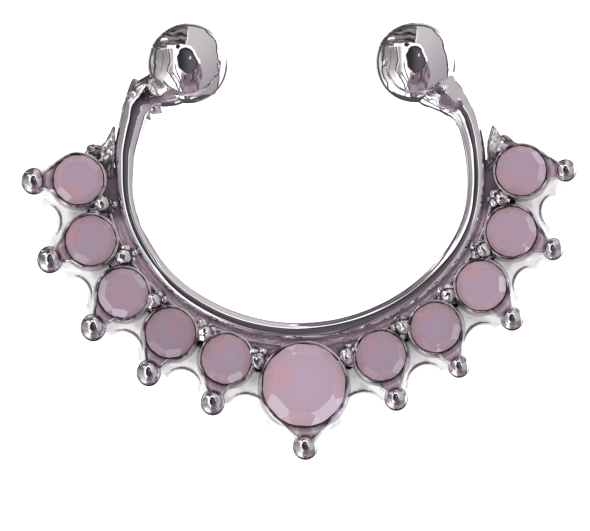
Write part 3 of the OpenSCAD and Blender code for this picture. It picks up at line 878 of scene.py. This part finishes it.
def cloth(corners, soft=0.015):
    """1 inside a cloth with these corners, given clockwise, and with straight edges"""
    mask = None
    for (x0, y0), (x1, y1) in zip(corners, corners[1:] + corners[:1]):
        long = math.hypot(x1 - x0, y1 - y0)
        a, b = (y1 - y0) / long, -(x1 - x0) / long
        inside = add_node(tree, "ShaderNodeVectorMath", {"operation": "DOT_PRODUCT", 1: (a, b, -(a * x0 + b * y0))},
                          {0: wavy})
        mask = fade(mask, inside.outputs["Value"], -soft, soft)
    return mask


def pole(x0, y0, x1, y1, width):
    """1 on a thin pole between two places"""
    long = math.hypot(x1 - x0, y1 - y0)
    a, b = (x1 - x0) / long, (y1 - y0) / long
    lengthwise, crosswise = (a, b, -(a * (x0 + x1) + b * (y0 + y1)) / 2), (-b, a, b * x0 - a * y0)
    mask = None
    for line, half, soft in ((lengthwise, long / 2, 0.01), (crosswise, width / 2, 0.006)):
        off = add_node(tree, "ShaderNodeVectorMath", {"operation": "DOT_PRODUCT", 1: line}, {0: wavy})
        off = add_node(tree, "ShaderNodeMath", {"operation": "ABSOLUTE"}, {0: off.outputs["Value"]})
        mask = fade(mask, off.outputs["Value"], half + soft, half - soft)
    return mask


def ellipse(x0, y0, a, b, soft=0.12, tilt=0.0):
    """1 inside an ellipse round (x0, y0)"""
    c, s = math.cos(tilt), math.sin(tilt)
    x, y = [add_node(tree, "ShaderNodeVectorMath", {"operation": "DOT_PRODUCT", 1: line}, {0: wavy}).outputs["Value"]
            for line in ((c / a, s / a, -(c * x0 + s * y0) / a), (-s / b, c / b, (s * x0 - c * y0) / b))]
    size = add_node(tree, "ShaderNodeMath", {"operation": "MULTIPLY"}, {0: x, 1: x})
    size = add_node(tree, "ShaderNodeMath", {"operation": "MULTIPLY_ADD"}, {0: y, 1: y, 2: size.outputs["Value"]})
    return fade(None, size.outputs["Value"], 1 + soft, 1 - soft)


def lay(colour, mask, brightness):
    """Hangs a card of one brightness over what is there"""
    mix = add_node(tree, "ShaderNodeMix", {"data_type": "RGBA"}, {"Factor": mask, 6: colour})
    mix.inputs[7].default_value = (*brightness, 1)
    return mix.outputs[2]


WHITE_CLOTH, DIM_FOOT = (2.1, 2.1, 2.1), (0.95, 0.93, 0.95)
sky = add_node(tree, "ShaderNodeRGB")
sky.outputs[0].default_value = (*WHITE_CLOTH, 1)
sky = sky.outputs[0]
# Towards its foot the cloth is less lit, except on the right
foot = fade(fade(fade(None, from_middle, 0.74, 0.84), up, -0.75, -0.2), across, 0.75, 0.5)
sky = lay(sky, foot, DIM_FOOT)
# The lilac card on the right, darker to the lower right, with the dark gap beside it
LILAC, LILAC_LOW, GAP = (0.76, 0.73, 0.75), (0.47, 0.43, 0.46), (0.08, 0.075, 0.08)
lilac_edge = [(0.33, 0.95), (0.60, 0.64), (0.70, 0.3), (0.75, -0.1), (0.77, -0.45), (0.68, -0.72)]
lilac = cloth([(0.0, 1.2), *lilac_edge, (0.0, -0.78)])
sky = lay(sky, lilac, LILAC)
low_right = add_node(tree, "ShaderNodeVectorMath", {"operation": "DOT_PRODUCT", 1: (0.6, -0.5, 0.0)}, {0: wavy})
sky = lay(sky, fade(lilac, low_right.outputs["Value"], -0.3, 0.75), LILAC_LOW)
gap = [*lilac_edge, (0.45, -0.83)]
for (x0, y0), (x1, y1) in zip(gap, gap[1:]):
    sky = lay(sky, fade(pole(x0, y0, x1, y1, 0.035), from_middle, 0.965, 0.945), GAP)
# A slatted dark gap at the top
SLATS, PALE_SLATS, DARK_SLATS = (0.13, 0.125, 0.135), (0.36, 0.32, 0.34), (0.03, 0.03, 0.035)
slats = cloth([(-0.72, 0.5), (-0.62, 0.9), (-0.02, 1.1), (-0.01, 0.47)], 0.012)
lying = add_node(tree, "ShaderNodeVectorMath", {"operation": "MULTIPLY", 1: (0.7, 3.2, 1.0)}, {0: wavy})
streaks = add_node(tree, "ShaderNodeTexNoise", {"Scale": 5.0, "Detail": 2.0},
                   {"Vector": lying.outputs["Vector"]}).outputs["Fac"]
sky = lay(sky, slats, SLATS)
sky = lay(sky, fade(slats, streaks, 0.5, 0.6), PALE_SLATS)
sky = lay(sky, fade(slats, streaks, 0.44, 0.4), DARK_SLATS)
SIDE, DARK_SIDE, LIT_SEAM, SIDE_HEM = (0.34, 0.31, 0.33), (0.12, 0.11, 0.12), (2.5, 2.5, 2.5), (0.08, 0.07, 0.08)
side = cloth([(-0.92, 0.44), (-0.72, 0.72), (-0.5, 0.66), (-0.52, 0.41)])
sky = lay(sky, side, SIDE)
sky = lay(sky, fade(side, streaks, 0.47, 0.43), DARK_SIDE)
sky = lay(sky, pole(-0.68, 0.59, -0.56, 0.63, 0.03), LIT_SEAM)
sky = lay(sky, pole(-0.78, 0.43, -0.6, 0.37, 0.035), SIDE_HEM)
# Two grey cards on the left, the poles between them and a dark knot
GREY, GREY_TOP, INNER_GREY = (0.62, 0.6, 0.62), (0.36, 0.35, 0.36), (0.5, 0.5, 0.5)
POLES, KNOT = (0.1, 0.095, 0.1), (0.02, 0.02, 0.02)
grey_card = cloth([(-0.9, 0.4), (-0.5, 0.4), (-0.48, -0.15), (-0.5, -0.55), (-0.82, -0.4)])
sky = lay(sky, fade(grey_card, up, -0.6, -0.1), GREY)
sky = lay(sky, fade(grey_card, up, -0.2, 0.3), GREY_TOP)
inner_card = cloth([(-0.44, 0.42), (-0.2, 0.42), (-0.2, -0.1), (-0.26, -0.5), (-0.44, -0.25)])
sky = lay(sky, fade(inner_card, across, -0.3, -0.42), INNER_GREY)
for x0, y0, x1, y1, width in ((-0.74, 0.55, -0.83, 0.2, 0.04), (-0.83, 0.2, -0.83, -0.25, 0.04),
                              (-0.83, -0.25, -0.69, -0.62, 0.035), (-0.69, -0.62, -0.42, -0.84, 0.035),
                              (-0.47, 0.4, -0.47, -0.2, 0.04), (-0.47, -0.2, -0.2, -0.74, 0.035),
                              (-0.37, -0.22, -0.14, -0.66, 0.03), (-0.64, 0.3, -0.64, -0.2, 0.015)):
    sky = lay(sky, pole(x0, y0, x1, y1, width), POLES)
sky = lay(sky, ellipse(-0.22, 0.42, 0.09, 0.055, 0.3, -0.5), KNOT)
# A white ring round the opening, then a dusky cloth with folds below it
RING = (1.9, 1.8, 1.85)
DUSKY, PALE_FOLDS, DARK_FOLDS = (0.25, 0.18, 0.225), (0.48, 0.38, 0.44), (0.1, 0.07, 0.09)
DUSKY_HEM, GLEAM = (0.05, 0.045, 0.05), (1.3, 1.0, 0.95)
sky = lay(sky, ellipse(-0.01, 0.09, 0.29, 0.37, 0.05, 0.1), RING)
dusky = cloth([(-0.31, 0.0), (0.27, 0.05), (0.36, -0.28), (0.25, -0.6), (0.03, -0.84), (-0.28, -0.84),
               (-0.21, -0.45)], 0.025)
standing = add_node(tree, "ShaderNodeVectorMath", {"operation": "MULTIPLY", 1: (3.0, 1.0, 1.0)}, {0: wavy})
folds = add_node(tree, "ShaderNodeTexNoise", {"Scale": 4.0, "Detail": 2.5},
                 {"Vector": standing.outputs["Vector"]}).outputs["Fac"]
sky = lay(sky, dusky, DUSKY)
sky = lay(sky, fade(dusky, folds, 0.5, 0.62), PALE_FOLDS)
sky = lay(sky, fade(dusky, folds, 0.46, 0.38), DARK_FOLDS)
sky = lay(sky, pole(-0.31, 0.0, -0.2, -0.5, 0.03), DUSKY_HEM)
sky = lay(sky, pole(-0.2, -0.5, -0.28, -0.82, 0.025), DUSKY_HEM)
sky = lay(sky, pole(-0.16, -0.16, -0.04, -0.24, 0.035), GLEAM)
# A dark curved edge below
CURVED_EDGE = (0.11, 0.1, 0.11)
for corners in ([(-0.62, -0.66), (-0.2, -0.82), (-0.1, -1.02), (-0.48, -0.93)],
                [(-0.24, -0.81), (0.1, -0.81), (0.2, -0.91), (-0.08, -1.02), (-0.26, -1.0)],
                [(0.08, -0.81), (0.35, -0.71), (0.66, -0.69), (0.62, -0.8), (0.3, -0.86), (0.1, -0.94)]):
    sky = lay(sky, fade(cloth(corners), from_middle, 0.955, 0.935), CURVED_EDGE)
# The round opening that the camera looks through: a black rim, a dark middle and one small light in it
OPENING_RIM, OPENING, SMALL_LIGHT = (0.04, 0.038, 0.042), (0.14, 0.14, 0.152), (0.9, 0.9, 0.9)
sky = lay(sky, ellipse(-0.01, 0.09, 0.245, 0.31, 0.1, 0.1), OPENING_RIM)
sky = lay(sky, fade(ellipse(-0.01, 0.07, 0.21, 0.27, 0.3, 0.1), across, -0.2, 0.1), OPENING)
sky = lay(sky, ellipse(0.06, 0.2, 0.02, 0.035, 0.4), SMALL_LIGHT)
# The dark ground far behind gives every round part its outline
GROUND, GROUND_RIGHT = (0.09, 0.085, 0.09), (0.2, 0.19, 0.2)
rim = fade(fade(None, from_middle, 0.9, 0.925), from_middle, 0.968, 0.952)
sky = lay(sky, fade(rim, across, 0.75, 0.2), GROUND)
sky = lay(sky, fade(fade(rim, across, 0.2, 0.75), up, 0.35, -0.1), GROUND_RIGHT)
tree.links.new(sky, backdrop.inputs["Color"])
# Matt surfaces and the camera meet the plain white of the tent, and only mirrors see what hangs in it
PLAIN_WHITE = (1.1, 1.1, 1.1, 1)
rays = add_node(tree, "ShaderNodeLightPath")
plain = add_node(tree, "ShaderNodeBackground", {"Color": PLAIN_WHITE})
chosen = add_node(tree, "ShaderNodeMixShader", {}, {0: rays.outputs["Is Glossy Ray"],
                                                    1: plain.outputs["Background"], 2: backdrop.outputs["Background"]})
tree.links.new(chosen.outputs["Shader"], tree.nodes["World Output"].inputs["Surface"])
world.cycles.sampling_method = "NONE"
bpy.context.scene.view_settings.view_transform = "Standard"
